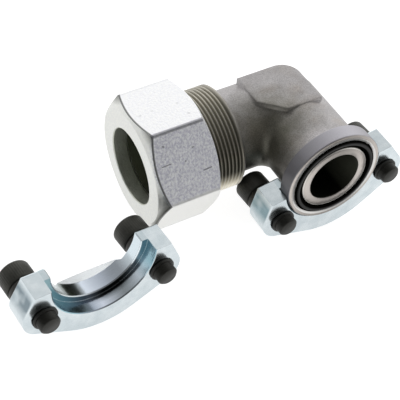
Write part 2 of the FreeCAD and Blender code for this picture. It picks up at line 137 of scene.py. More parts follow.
# Thread profile: depth as a share of the pitch, and the shares of the pitch
# that the flat crest, the flat root and each flank take
DEPTH_PER_PITCH = 0.6134
CREST_SHARE = 0.125
ROOT_SHARE = 0.18
FLANK_SHARE = (1 - CREST_SHARE - ROOT_SHARE) / 2
# Where crest, flank, root, flank and next crest meet, from the middle of a crest
THREAD_CORNERS = (
    CREST_SHARE / 2,
    CREST_SHARE / 2 + FLANK_SHARE,
    CREST_SHARE / 2 + FLANK_SHARE + ROOT_SHARE,
    1 - CREST_SHARE / 2,
)
SHARP_ANGLE = math.radians(28)

# The photograph's camera, its turn in degrees, its lens and sensor in millimetres
CAMERA_PLACE = (-0.27921, -0.29697, 0.38263)
CAMERA_TURN = (44.177, -5.475, -28.883)
CAMERA_LENS = 104.86
CAMERA_SENSOR = 36.0

# Floor, overhead softbox and room
FLOOR_REACH = 3.0
FLOOR_COLOUR = (0.35, 0.35, 0.35, 1)
FLOOR_GLOW_SEEN = 0.90
FLOOR_GLOW_MIRRORED = 0.82
OBJECT_MIDDLE = (-0.05, 0.03, 0.0)
OVERHEAD_PLACE = (-0.1, 0.25, 1.0)
OVERHEAD_SIZE = (1.2, 1.0)
OVERHEAD_ENERGY = 4.2
# The room's brightness, by the cosine between a direction and the dark side's
DARK_SIDE = (-0.50, -0.53, 0.68)
ROOM_PEAK = 1.40
ROOM_LEVELS = ((-1.0, 1.25), (-0.3, 1.40), (-0.07, 1.02), (0.35, 0.66), (0.6, 0.20), (1.0, 0.12))

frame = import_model()
cad_low, cad_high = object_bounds()
nodes = frame["nodes"]
joints = {joint["name"]: joint for joint in frame["joints"]}

PORT_CENTRE = (0.0, 0.0, 0.0)
PORT_AXIS = (0.0, 1.0, 0.0)
ELBOW_CENTRE = tuple(joints["nut_turn"]["pos_m"])
TUBE_AXIS = tuple(joints["nut_turn"]["axis"])
# The bend is a torus about this point and direction
BEND_MIDDLE = tuple(Vector(ELBOW_CENTRE) + (Vector(TUBE_AXIS) - Vector(PORT_AXIS)) * BEND_RADIUS)
UPRIGHT = (TUBE_AXIS[2], 0.0, -TUBE_AXIS[0])
BEND_START = ELBOW_CENTRE[1] - BEND_RADIUS


# ------------------------------------------------------------- node helpers


def opaque(colour):
    """Colour with full alpha; the output of a node stays as it is."""
    return colour if isinstance(colour, bpy.types.NodeSocket) else (*colour, 1)


class Nodes:
    """Short ways to add nodes; a value is a number, a tuple or a node's output."""

    def __init__(self, tree):
        self.tree = tree

    def feed(self, socket, value):
        """Link a node's output to a socket, or set the socket's own value."""
        if isinstance(value, bpy.types.NodeSocket):
            self.tree.links.new(value, socket)
        else:
            socket.default_value = value

    def node(self, kind, inputs=(), **settings):
        """Add a shader node of that kind, its inputs by name or number."""
        item = self.tree.nodes.new(f"ShaderNode{kind}")
        for key, value in settings.items():
            setattr(item, key, value)
        for socket, value in dict(inputs).items():
            self.feed(item.inputs[socket], value)
        return item

    def math(self, operation, a, b=0.0, clamp=False):
        return self.node("Math", {0: a, 1: b}, operation=operation, use_clamp=clamp).outputs[0]

    def minus(self, a, b):
        return self.math("SUBTRACT", a, b)

    def product(self, first, *others):
        for other in others:
            first = self.math("MULTIPLY", first, other)
        return first

    def largest(self, first, *others):
        for other in others:
            first = self.math("MAXIMUM", first, other)
        return first

    def vector(self, operation, a, b=(0, 0, 0)):
        item = self.node("VectorMath", {0: a, 1: b}, operation=operation)
        return item.outputs["Value" if operation in ("DOT_PRODUCT", "LENGTH") else "Vector"]

    def dot(self, a, b):
        return self.vector("DOT_PRODUCT", a, b)

    def length(self, a):
        return self.vector("LENGTH", a)

    def tinted(self, colour, tint):
        return self.vector("MULTIPLY", colour, tint)

    def scaled(self, vector, amount):
        return self.node("VectorMath", {0: vector, "Scale": amount}, operation="SCALE").outputs[0]

    def plane(self, x, y):
        """Vector of two values, for a pattern over both or for their length."""
        return self.node("CombineXYZ", {"X": x, "Y": y}).outputs[0]

    def ramp(self, value, low, high):
        """0 below low, 1 above high, straight between them."""
        inputs = {"Value": value, "From Min": low, "From Max": high}
        return self.node("MapRange", inputs, clamp=True).outputs["Result"]

    def inside(self, value, limit, blur):
        """1 below the limit, 0 above it, with a soft step of width blur."""
        return self.minus(1.0, self.ramp(value, limit, limit + blur))

    def near(self, value, middle, reach, blur):
        """1 within reach of the middle, 0 beyond, with a soft step of width blur."""
        return self.inside(self.math("ABSOLUTE", self.minus(value, middle)), reach, blur)

    def between(self, share, a, b):
        """Number a where share is 0, number b where it is 1."""
        return self.node("Mix", {"Factor": share, 2: a, 3: b}, data_type="FLOAT").outputs[0]

    def mix(self, share, a, b):
        """Colour a where share is 0, colour b where it is 1."""
        inputs = {"Factor": share, 6: opaque(a), 7: opaque(b)}
        return self.node("Mix", inputs, data_type="RGBA").outputs[2]

    def tones(self, value, stops):
        """Colour that goes through the stops, (value, colour) each, as the value grows."""
        low, high = stops[0][0], stops[-1][0]
        item = self.node("ValToRGB", {"Fac": self.ramp(value, low, high)})
        while len(item.color_ramp.elements) < len(stops):
            item.color_ramp.elements.new(1.0)
        for element, (spot, colour) in zip(item.color_ramp.elements, stops):
            element.position = (spot - low) / (high - low)
            element.color = opaque(colour)
        return item.outputs["Color"]


class Finish(Nodes):
    """A procedural material, laid out in the frame's own coordinates."""

    def __init__(self, name, **sockets):
        self.material = bpy.data.materials.new(name)
        self.material.use_nodes = True
        super().__init__(self.material.node_tree)
        self.shader = self.tree.nodes["Principled BSDF"]
        self.place = self.node("TexCoord").outputs["Object"]
        self.surface(**sockets)

    def surface(self, **sockets):
        """Feed the shader's sockets, _ standing for a space, and return the material."""
        for socket, value in sockets.items():
            self.feed(self.shader.inputs[socket.replace("_", " ")], value)
        return self.material

    def noise(self, size, detail=3.0, roughness=0.55, place=None):
        """Cloudy pattern whose blotches are about that size."""
        inputs = {
            "Vector": place or self.place,
            "Scale": 1 / size,
            "Detail": detail,
            "Roughness": roughness,
        }
        return self.node("TexNoise", inputs).outputs["Fac"]

    def axis_place(self, origin, axis):
        """Height along an axis through origin, and distance from that axis."""
        offset = self.vector("SUBTRACT", self.place, origin)
        height = self.dot(offset, axis)
        beside = self.vector("SUBTRACT", offset, self.scaled(tuple(axis), height))
        return height, self.length(beside)

    def stroke(self, start, end, width):
        """1 on the line from start to end, fading from half to 1.5 times width beside it."""
        line = Vector(end) - Vector(start)
        offset = self.vector("SUBTRACT", self.place, start)
        share = self.math("DIVIDE", self.dot(offset, tuple(line)), line.length_squared, clamp=True)
        beside = self.vector("SUBTRACT", offset, self.scaled(tuple(line), share))
        return self.inside(self.length(beside), width * 0.5, width)

    def wear(self):
        """1 on convex edges, 0 elsewhere."""
        return self.ramp(self.node("NewGeometry").outputs["Pointiness"], 0.56, 0.61)

    def rounded(self, radius):
        """Normal that rounds sharp edges off."""
        return self.node("Bevel", {"Radius": radius}, samples=6).outputs["Normal"]

    def bump(self, height, depth, normal=None):
        inputs = {"Height": height, "Distance": depth, "Strength": 1.0}
        if normal is not None:
            inputs["Normal"] = normal
        return self.node("Bump", inputs).outputs["Normal"]


# ---------------------------------------------------------- phosphated steel

FORGED_TONES = ((0.375, 0.36, 0.36), (0.425, 0.41, 0.41))
RUST_TONE = (0.30, 0.25, 0.20)
# Tint of the painted shade in the crotch between the necks
CROTCH_SHADE_TINT = (0.50, 0.50, 0.415)
# Tint of the painted sheen on the neck by the head
BY_HEAD_SHEEN_TINT = (1.42, 1.41, 1.46)
RIM_TONE = (0.335, 0.328, 0.352)
# Direction of the port neck's brightly lit side, which gets no painted sheen, and where it begins
LIT_SIDE = (0.5, 0, 0.866)
LIT_SIDE_START = 14 * MM
# Tones of the thread by the height above the port's axis: painted reflection and shade, bright
# below where it mirrors the floor, dark in the middle, paler on top
THREAD_ROOT_REFLECTION_TONES = (
    (-13 * MM, (0.90, 0.84, 0.70)),
    (-3 * MM, (0.095, 0.09, 0.072)),
    (7 * MM, (0.115, 0.11, 0.088)),
    (24 * MM, (0.37, 0.35, 0.295)),
)
THREAD_CREST_REFLECTION_TONES = (
    (-13 * MM, (1.0, 0.96, 0.84)),
    (-3 * MM, (0.31, 0.295, 0.245)),
    (7 * MM, (0.33, 0.31, 0.255)),
    (24 * MM, (0.56, 0.53, 0.455)),
)
TURNED_FACE_TONES = ((0.37, 0.335, 0.31), (0.65, 0.61, 0.57))
# Painted highlights on the edges of the land and the groove
LAND_EDGE_HIGHLIGHT_TONE = (0.85, 0.84, 0.82)
GROOVE_EDGE_HIGHLIGHT_TONE = (0.95, 0.93, 0.88)
# Near black of the painted shade in the port's hollows
HOLLOW_SHADE_TONE = (0.020, 0.021, 0.014)
# Darker tone of the painted shade in the tube side's bore
TUBE_BORE_SHADE_TONE = (0.16, 0.17, 0.12)


def forged_colour(finish, height, level, blotches, grain, away_from_crotch):
    """Blotched grey with some rust, darkened by painted shade in the crotch, a little lighter on
    top and paler toward the head, both painted light.
    """
    colour = finish.mix(finish.ramp(blotches, 0.35, 0.65), *FORGED_TONES)
    rust = finish.ramp(finish.noise(13 * MM, 3), 0.50, 0.72)
    colour = finish.mix(finish.product(rust, 0.35), colour, RUST_TONE)
    # Painted shade in the crotch; away from it the colour stays as it is
    colour = finish.mix(away_from_crotch, finish.tinted(colour, CROTCH_SHADE_TINT), colour)
    # Painted light: the tops are a little lighter
    on_top = finish.ramp(level, 12 * MM, 20 * MM)
    colour = finish.scaled(colour, finish.between(on_top, 1.0, 1.07))
    left_side = finish.inside(finish.dot(finish.place, LIT_SIDE), LIT_SIDE_START, 4.5 * MM)
    # Painted light: a paler sheen on the neck by the head, strongest on top and left off the lit
    # side
    head_sheen = finish.product(
        finish.inside(height, HEAD_THICKNESS + 4 * MM, 14 * MM),
        left_side,
        finish.between(on_top, 0.3, 1.0),
    )
    colour = finish.mix(head_sheen, colour, finish.tinted(colour, BY_HEAD_SHEEN_TINT))
    # Right behind the head the neck is turned and paler; kept off the lit side, this is partly
    # painted light
    turned_neck = finish.product(
        finish.inside(height, HEAD_THICKNESS + 7 * MM, 0.8 * MM),
        left_side,
    )
    colour = finish.mix(turned_neck, colour, finish.scaled(colour, 1.16))
    return finish.scaled(colour, finish.between(finish.ramp(grain, 0.38, 0.62), 0.80, 1.26))


def thread_colour(finish, along, radius, level):
    """Crests rubbed brighter than the roots, with painted reflection and shade by the height;
    darker at the start next to the neck.
    """
    crest = finish.ramp(radius, THREAD_RADIUS - 0.55 * MM, THREAD_RADIUS - 0.05 * MM)
    colour = finish.mix(
        crest,
        finish.tones(level, THREAD_ROOT_REFLECTION_TONES),
        finish.tones(level, THREAD_CREST_REFLECTION_TONES),
    )
    by_neck = finish.inside(along, THREAD_START + 1.0 * MM, 0.6 * MM)
    return finish.mix(by_neck, colour, finish.scaled(colour, 0.70))


def with_port_face(finish, colour, face, height, reach):
    """The colour, with marks of turning, a painted gleam and two painted highlight lines on the
    port's face.
    """
    marks = finish.noise(0.30 * MM, 2, 0.6, finish.plane(reach, height))
    # Painted highlight: the turned rings gleam on the left and the right of the port
    share = finish.math("DIVIDE", finish.dot(finish.place, (1, 0, 0)), reach)
    gleam = finish.between(finish.product(share, share), 0.66, 1.32)
    turned = finish.scaled(finish.mix(marks, *TURNED_FACE_TONES), gleam)
    colour = finish.mix(face, colour, turned)
    land_edge_highlight = finish.near(reach, GROOVE_OUTER_RADIUS + 0.6 * MM, 0.5 * MM, 0.3 * MM)
    colour = finish.mix(finish.product(face, land_edge_highlight), colour, LAND_EDGE_HIGHLIGHT_TONE)
    groove_edge_highlight = finish.near(reach, GROOVE_INNER_RADIUS - 0.3 * MM, 0.15 * MM, 0.2 * MM)
    return finish.mix(finish.product(face, groove_edge_highlight, 0.7), colour, GROOVE_EDGE_HIGHLIGHT_TONE)


def port_hollows(finish, height, reach, along):
    """1 in the seal's groove, in the port's bore and in the bend behind it, where painted shade
    goes.
    """
    groove = finish.product(
        finish.inside(reach, GROOVE_OUTER_RADIUS + 0.1 * MM, 0.1 * MM),
        finish.ramp(height, 0.15 * MM, 0.3 * MM),
        finish.inside(height, GROOVE_DEPTH + 0.5 * MM, 0.2 * MM),
    )
    port_bore = finish.product(
        finish.inside(reach, PORT_BORE_RADIUS + 0.2 * MM, 0.1 * MM),
        finish.ramp(height, 0.2 * MM, 0.6 * MM),
        finish.inside(height, BEND_START, 1 * MM),
    )
    above_bend, from_middle = finish.axis_place(BEND_MIDDLE, UPRIGHT)
    from_ring = finish.length(finish.plane(finish.minus(from_middle, BEND_RADIUS), above_bend))
    bend_bore = finish.product(
        finish.inside(from_ring, BEND_BORE_REACH, 1 * MM),
        finish.ramp(height, BEND_START, BEND_START + 1 * MM),
        finish.inside(along, BEND_RADIUS, 1 * MM),
    )
    return finish.largest(groove, port_bore, bend_bore)


def phosphated_steel():
    """Dark forged steel, machined on the thread, the head's rim, the port face and the bores, with
    painted shade in the crotch and the hollows and painted light on the tops and some edges.
    """
    finish = Finish("phosphated_steel", Metallic=0.85)
    height, reach = finish.axis_place(PORT_CENTRE, PORT_AXIS)
    along, radius = finish.axis_place(ELBOW_CENTRE, TUBE_AXIS)
    level = finish.dot(finish.place, (0, 0, 1))
    blotches = finish.noise(7 * MM, 4)
    grain = finish.noise(0.55 * MM, 5, 0.7)

    # Painted shade darkens the crotch between the two necks, with a ragged edge
    flat_place = finish.vector("MULTIPLY", finish.place, (1, 1, 0))
    from_crotch = finish.length(finish.vector("SUBTRACT", flat_place, CROTCH))
    ragged = finish.math("ADD", from_crotch, finish.product(blotches, 9 * MM))
    away_from_crotch = finish.ramp(ragged, 11 * MM, 32 * MM)
    colour = forged_colour(finish, height, level, blotches, grain, away_from_crotch)

    # The head's rim is turned, with a cooler tone and a painted highlight on top
    rim = finish.product(
        finish.ramp(reach, HEAD_RADIUS - 0.6 * MM, HEAD_RADIUS - 0.3 * MM),
        finish.inside(height, HEAD_THICKNESS + 0.2 * MM, 0.3 * MM),
    )
    rim_colour = finish.scaled(RIM_TONE, finish.between(grain, 0.8, 1.2))
    rim_painted_highlight = finish.between(finish.ramp(level, 16 * MM, 25 * MM), 0.80, 1.50)
    colour = finish.mix(rim, colour, finish.scaled(rim_colour, rim_painted_highlight))

    on_thread = finish.product(
        finish.ramp(along, THREAD_START - 0.2 * MM, THREAD_START),
        finish.ramp(radius, THREAD_RADIUS - 2.0 * MM, THREAD_RADIUS - 1.6 * MM),
    )
    colour = finish.mix(on_thread, colour, thread_colour(finish, along, radius, level))

    face = finish.inside(height, 0.20 * MM, 0.15 * MM)
    colour = with_port_face(finish, colour, face, height, reach)
    # Painted shade: near black in the groove, the port's bore and the bend
    colour = finish.mix(port_hollows(finish, height, reach, along), colour, HOLLOW_SHADE_TONE)
    # Painted shade in the tube side's bore
    tube_bore = finish.product(
        finish.inside(radius, TUBE_BORE_REACH, 0.2 * MM),
        finish.ramp(along, TUBE_BORE_START, TUBE_BORE_START + 2 * MM),
    )
    colour = finish.mix(tube_bore, colour, TUBE_BORE_SHADE_TONE)

    roughness = finish.between(finish.largest(face, on_thread), 0.50, 0.36)
    roughness = finish.math("ADD", roughness, finish.product(finish.minus(grain, 0.5), 0.25))
    # Forged edges are round, most of all in the crotch between the blocks; turned ones are sharp
    by_block = finish.ramp(finish.math("ABSOLUTE", level), 11 * MM, 16 * MM)
    rounding = finish.between(finish.largest(away_from_crotch, by_block), 5.0 * MM, 2.0 * MM)
    normal = finish.node(
        "Mix",
        {
            "Factor": finish.largest(on_thread, rim),
            4: finish.rounded(rounding),
            5: finish.rounded(0.3 * MM),
        },
        data_type="VECTOR",
    ).outputs[1]
    normal = finish.bump(grain, 0.06 * MM, normal)
    normal = finish.bump(blotches, 0.12 * MM, normal)
    return finish.surface(Base_Color=colour, Roughness=roughness, Normal=normal)


# ------------------------------------------------------------- zinc on the nut

NUT_TONES = ((0.77, 0.78, 0.86), (0.98, 0.985, 1.0))
NUT_CLOUD_TONE = (0.90, 0.93, 0.94)
NUT_PALE_TONE = (1.0, 1.0, 0.99)
# Painted light on two flats: shade on the front flat, the floor's reflection on the lower one
NUT_FRONT_SHADE_TONES = ((0.68, 0.68, 0.77), (0.97, 0.98, 1.0))
NUT_LOWER_REFLECTION_TONE = (1.0, 1.0, 0.975)
# Painted shade of the line behind the chamfer and of the hexagon's edges
NUT_LINE_SHADE_TONE = (0.12, 0.125, 0.12)
NUT_EDGE_SHADE_TONE = (0.22, 0.22, 0.24)
# Painted shade on the nut's face and chamfer
NUT_FACE_SHADE_TINT = (0.87, 0.875, 0.835)
NUT_CHAMFER_SHADE_TONE = (0.095, 0.10, 0.085)
NUT_BORE_TONES = ((0.52, 0.54, 0.47), (0.70, 0.72, 0.64))
# Direction of each of the hexagon's edges, and how much painted shade it gets
NUT_EDGES = ((25.1, 0.75), (85.1, 0.20), (145.1, 0.20), (205.1, 0.20), (265.1, 0.20), (325.1, 0.10))
# Scuffs on the flats: start, end and width in mm, and how dark each is
SCUFF_TONE = (0.10, 0.10, 0.11)
NUT_SCUFFS = (
    ((-80.18, 26.12, 13.77), (-75.76, 26.17, 14.12), 0.22, 0.75),
    ((-60.41, 21.60, 8.55), (-56.41, 21.71, 8.97), 0.26, 0.80),
    ((-78.1, 31.3, 21.4), (-77.5, 31.1, 21.1), 0.34, 0.65),
    ((-63.8, 28.5, 18.2), (-63.1, 28.5, 18.4), 0.34, 0.60),
    ((-68.5, 25.6, 13.8), (-68.4, 25.6, 13.9), 0.32, 0.60),
    ((-60.8, 50.6, 26.1), (-60.6, 50.5, 26.1), 0.50, 0.22),
    ((-59.7, 41.6, 27.0), (-59.3, 41.4, 27.0), 0.55, 0.22),
    ((-80.1, 50.4, 24.9), (-79.9, 50.5, 24.9), 0.55, 0.20),
    ((-73.6, 51.0, 25.3), (-73.4, 51.0, 25.3), 0.45, 0.18),
)


def nut_direction(angle):
    """Direction square to the nut's axis, in degrees from straight up toward -Y."""
    lean = math.radians(angle)
    return (TUBE_AXIS[2] * math.cos(lean), -math.sin(lean), -TUBE_AXIS[0] * math.cos(lean))


def on_flat(finish, outward):
    """1 on the flat whose direction the outward distance was measured in."""
    return finish.ramp(outward, NUT_FLAT_REACH - 1.5 * MM, NUT_FLAT_REACH - 0.2 * MM)


def zinc_nut():
    """Rough bright zinc on a hexagon: mottled, with painted shade on the front flat, face, chamfer
    and edges, a painted reflection of the floor on the lower flat, and small scuffs.
    """
    finish = Finish("zinc_nut", Metallic=0.9)
    along, radius = finish.axis_place(ELBOW_CENTRE, TUBE_AXIS)
    offset = finish.vector("SUBTRACT", finish.place, ELBOW_CENTRE)
    toward_front = finish.dot(offset, nut_direction(NUT_FRONT_FLAT))
    toward_lower = finish.dot(offset, nut_direction(NUT_LOWER_FLAT))
    speckle = finish.noise(1.15 * MM, 4, 0.6)
    clouds = finish.noise(7 * MM, 4)

    colour = finish.mix(finish.ramp(speckle, 0.40, 0.60), *NUT_TONES)
    colour = finish.mix(finish.product(clouds, 0.30), colour, NUT_CLOUD_TONE)
    colour = finish.mix(0.6, colour, NUT_PALE_TONE)
    # Painted shade on the front flat, painted reflection of the floor on the lower flat
    mottled = finish.mix(finish.ramp(speckle, 0.36, 0.60), *NUT_FRONT_SHADE_TONES)
    colour = finish.mix(on_flat(finish, toward_front), colour, mottled)
    colour = finish.mix(on_flat(finish, toward_lower), colour, NUT_LOWER_REFLECTION_TONE)
    for start, end, width, darkness in NUT_SCUFFS:
        start, end = (tuple(x * MM for x in spot) for spot in (start, end))
        mark = finish.stroke(start, end, width * MM)
        colour = finish.mix(finish.product(mark, darkness), colour, SCUFF_TONE)

    # Painted shade: a dark line on the flats, right behind the chamfer's cone
    slope = math.tan(math.radians(NUT_CHAMFER))
    fall = finish.product(finish.minus(radius, NUT_FACE_RADIUS), slope)
    behind = finish.minus(finish.minus(NUT_FRONT, fall), along)
    line = finish.product(
        finish.ramp(behind, 0.03 * MM, 0.10 * MM),
        finish.inside(behind, 0.75 * MM, 0.40 * MM),
        finish.ramp(radius, NUT_FACE_RADIUS + 0.2 * MM, NUT_FACE_RADIUS + 0.6 * MM),
        0.90,
    )
    colour = finish.mix(line, colour, NUT_LINE_SHADE_TONE)
    corner = 0.0
    # Painted shade along each of the hexagon's edges
    for angle, edge_shade in NUT_EDGES:
        outward = finish.dot(offset, nut_direction(angle))
        edge = finish.ramp(outward, NUT_CORNER_RADIUS - 0.70 * MM, NUT_CORNER_RADIUS - 0.40 * MM)
        colour = finish.mix(finish.product(edge, edge_shade), colour, NUT_EDGE_SHADE_TONE)
        corner = finish.largest(corner, outward)

    # Painted shade: face and chamfer are greyer, the chamfer most by the corners and the lower flat
    on_cone = finish.inside(behind, 0.02 * MM, 0.02 * MM)
    on_face = finish.inside(finish.minus(NUT_FRONT, along), 0.03 * MM, 0.03 * MM)
    grey = finish.tinted(colour, NUT_FACE_SHADE_TINT)
    colour = finish.mix(finish.largest(on_cone, on_face), colour, grey)
    by_corner = finish.ramp(corner, NUT_FLAT_REACH + 0.5 * MM, NUT_CORNER_RADIUS - 0.44 * MM)
    by_lower = finish.ramp(toward_lower, NUT_FLAT_REACH - 2.6 * MM, NUT_FLAT_REACH - 0.4 * MM)
    chamfer_shade = finish.largest(finish.product(by_corner, 0.78), finish.product(by_lower, 0.95))
    colour = finish.mix(finish.product(on_cone, chamfer_shade), colour, NUT_CHAMFER_SHADE_TONE)
    bore = finish.inside(radius, NUT_BORE_RADIUS + 0.35 * MM, 0.15 * MM)
    colour = finish.mix(bore, colour, finish.mix(clouds, *NUT_BORE_TONES))

    roughness = finish.between(speckle, 0.34, 0.58)
    normal = finish.bump(speckle, 0.22 * MM, finish.rounded(0.5 * MM))
    return finish.surface(Base_Color=colour, Roughness=roughness, Normal=normal)


# ------------------------------------------------ zinc on the flange's halves

HALF_TONES = ((0.60, 0.67, 0.70), (0.70, 0.76, 0.785))
# Painted reflections: tones of a half's groove and bore, by the distance to the right of their
# lowest line
GROOVE_REFLECTION_TONES = (
    (-26 * MM, (0.38, 0.60, 0.66)),
    (-16 * MM, (0.29, 0.45, 0.51)),
    (-5 * MM, (0.26, 0.31, 0.37)),
    (1 * MM, (0.66, 0.72, 0.82)),
    (12 * MM, (0.42, 0.47, 0.50)),
    (19 * MM, (0.62, 0.70, 0.77)),
    (24 * MM, (0.27, 0.43, 0.50)),
)
BORE_REFLECTION_TONES = (
    (-20 * MM, (0.70, 0.76, 0.78)),
    (-12 * MM, (0.34, 0.38, 0.38)),
    (-4 * MM, (0.62, 0.68, 0.76)),
    (6 * MM, (0.55, 0.61, 0.70)),
    (14 * MM, (0.46, 0.51, 0.56)),
    (20 * MM, (0.66, 0.75, 0.80)),
)
# Painted shade of the dark band in a half's groove
GROOVE_SHADE_BAND_TONE = (0.04, 0.05, 0.05)
# Near white of the painted highlight lines in the cradle
HIGHLIGHT_LINE_TONE = (0.90, 0.95, 0.97)
# Near white of the painted highlight where the bore opens out
FLARE_HIGHLIGHT_TONE = (0.92, 0.96, 0.98)


def cradle_colour(finish, height, reach, sideways, on_groove):
    """Blue painted reflections of the turned groove and bore, with a dark band of painted shade and
    two painted highlight lines.
    """
    colour = finish.mix(
        on_groove,
        finish.tones(sideways, BORE_REFLECTION_TONES),
        finish.tones(sideways, GROOVE_REFLECTION_TONES),
    )
    # Painted shade: a dark band in the groove toward its wall
    band = finish.product(
        finish.ramp(sideways, -4 * MM, 4 * MM),
        finish.inside(sideways, 12 * MM, 7 * MM),
        finish.ramp(height, RECESS_DEPTH - 4.5 * MM, RECESS_DEPTH - 1.0 * MM),
        on_groove,
        0.9,
    )
    colour = finish.mix(band, colour, GROOVE_SHADE_BAND_TONE)
    # Painted shade: the groove's wall is darker than its floor
    on_wall = finish.product(
        on_groove,
        finish.ramp(height, RECESS_DEPTH - 0.10 * MM, RECESS_DEPTH - 0.05 * MM),
    )
    colour = finish.mix(on_wall, colour, finish.scaled(colour, 0.62))
    # Painted highlights: one bright line where floor and wall meet, one on the edge of the bore
    floor_highlight = finish.product(
        finish.ramp(reach, HALF_GROOVE_RADIUS - 0.3 * MM, HALF_GROOVE_RADIUS - 0.2 * MM),
        finish.ramp(height, RECESS_DEPTH - 0.35 * MM, RECESS_DEPTH - 0.25 * MM),
        0.55,
    )
    bore_highlight = finish.product(
        finish.inside(reach, HALF_BORE_RADIUS + 0.25 * MM, 0.15 * MM),
        finish.near(height, RECESS_DEPTH, 0.25 * MM, 0.15 * MM),
        0.85,
    )
    return finish.mix(finish.largest(floor_highlight, bore_highlight), colour, HIGHLIGHT_LINE_TONE)


def zinc_half(name, place, axis, up, end_shade_tone):
    """Glossy blue-white zinc, with painted shade on the upper slope of each end and painted
    reflections in the turned cradle.
    """
    finish = Finish(name, Metallic=1.0)
    height, reach = finish.axis_place(place, axis)
    offset = finish.vector("SUBTRACT", finish.place, place)
    below = finish.dot(offset, tuple(-x for x in up))
    sideways = finish.dot(offset, tuple(Vector(axis).cross(up)))
    clouds = finish.noise(6 * MM, 4)
    speckle = finish.noise(0.7 * MM, 4, 0.7)

    colour = finish.mix(finish.ramp(clouds, 0.35, 0.65), *HALF_TONES)
    # Painted shade on the upper slope of each end
    end = finish.product(
        finish.ramp(finish.math("ABSOLUTE", sideways), HALF_END - 9 * MM, HALF_END - 6 * MM),
        finish.ramp(height, 0.3 * MM, 1.2 * MM),
        finish.ramp(below, 1.0 * MM, 4.0 * MM),
        finish.inside(below, 8 * MM, 5 * MM),
        finish.ramp(finish.noise(11 * MM, 2), 0.20, 0.50),
        0.90,
    )
    colour = finish.mix(end, colour, end_shade_tone)

    cradle = finish.product(
        finish.inside(reach, HALF_GROOVE_RADIUS + 0.1 * MM, 0.1 * MM),
        finish.ramp(below, 0.35 * MM, 0.6 * MM),
    )
    on_groove = finish.ramp(reach, HALF_BORE_RADIUS + 0.3 * MM, HALF_BORE_RADIUS + 0.5 * MM)
    turned = cradle_colour(finish, height, reach, sideways, on_groove)
    # Toward its back the bore opens out, which is only shaded; it is painted pale there as a
    # highlight
    on_bore = finish.product(finish.minus(1.0, on_groove), cradle)
    flare_highlight = finish.product(finish.ramp(height, HALF_FLARE, HALF_FLARE + 0.4 * MM), on_bore)
    turned = finish.mix(flare_highlight, turned, FLARE_HIGHLIGHT_TONE)
    opening = finish.product(finish.largest(finish.minus(height, HALF_FLARE), 0.0), on_bore)
    colour = finish.mix(cradle, colour, turned)
    colour = finish.scaled(colour, finish.between(speckle, 0.97, 1.03))

    roughness = finish.between(speckle, 0.13, 0.22)
    normal = finish.bump(clouds, 0.05 * MM, finish.rounded(0.15 * MM))
    normal = finish.bump(speckle, 0.002 * MM, normal)
    normal = finish.bump(opening, -FLARE_SLOPE, normal)
    return finish.surface(Base_Color=colour, Roughness=roughness, Normal=normal)


# -------------------------------------------------- small parts' materials

MACHINED_TONES = ((0.26, 0.27, 0.21), (0.48, 0.50, 0.41))
OXIDE_TONES = ((0.024, 0.024, 0.020), (0.078, 0.078, 0.067))
RUBBED_TONE = (0.12, 0.115, 0.11)
SCREW_TIP_TONE = (0.040, 0.040, 0.035)
SCREW_SHANK_TONE = (0.012, 0.012, 0.009)
# The washers and keepers are darkened with painted shade, as they lie in the screws' shade
WASHER_SHADE_DARKNESS = 0.5
RUBBER_TONES = ((0.002, 0.002, 0.002), (0.006, 0.006, 0.005))


def machined_steel():
    """Turned steel in the shade of the nut's bore."""
    finish = Finish("machined_steel", Metallic=1.0)
    along, radius = finish.axis_place(ELBOW_CENTRE, TUBE_AXIS)
    rings = finish.noise(0.4 * MM, 2, 0.6, finish.plane(along, radius))
    colour = finish.mix(rings, *MACHINED_TONES)
    return finish.surface(Base_Color=colour, Roughness=finish.between(rings, 0.30, 0.45))


def nitrile():
    """Black rubber ring, of which only the crest catches the light."""
    finish = Finish("nitrile", Metallic=0.0)
    grain = finish.noise(0.4 * MM, 3)
    _, reach = finish.axis_place(PORT_CENTRE, PORT_AXIS)
    crest = finish.near(reach, SEAL_RADIUS, 0.3 * MM, 0.6 * MM)
    return finish.surface(
        Base_Color=finish.mix(grain, *RUBBER_TONES),
        Roughness=finish.between(grain, 0.28, 0.40),
        Specular_IOR_Level=finish.product(crest, 0.22),
        Normal=finish.bump(grain, 0.01 * MM),
    )


def blackened(name):
    """Blackened steel, a little rubbed on its edges: finish, colour, normal and roughness."""
    finish = Finish(name, Metallic=0.4)
    grain = finish.noise(0.6 * MM, 4, 0.7)
    colour = finish.mix(finish.noise(4 * MM, 3), *OXIDE_TONES)
    colour = finish.mix(finish.product(finish.wear(), 0.25), colour, RUBBED_TONE)
    normal = finish.bump(grain, 0.02 * MM, finish.rounded(0.15 * MM))
    return finish, colour, normal, finish.between(grain, 0.34, 0.52)


def washer_oxide():
    """Blackened steel of the spring washers and keepers, darkened with painted shade."""
    finish, colour, normal, roughness = blackened("black_oxide")
    colour = finish.scaled(colour, WASHER_SHADE_DARKNESS)
    return finish.surface(Base_Color=colour, Roughness=roughness, Normal=normal)


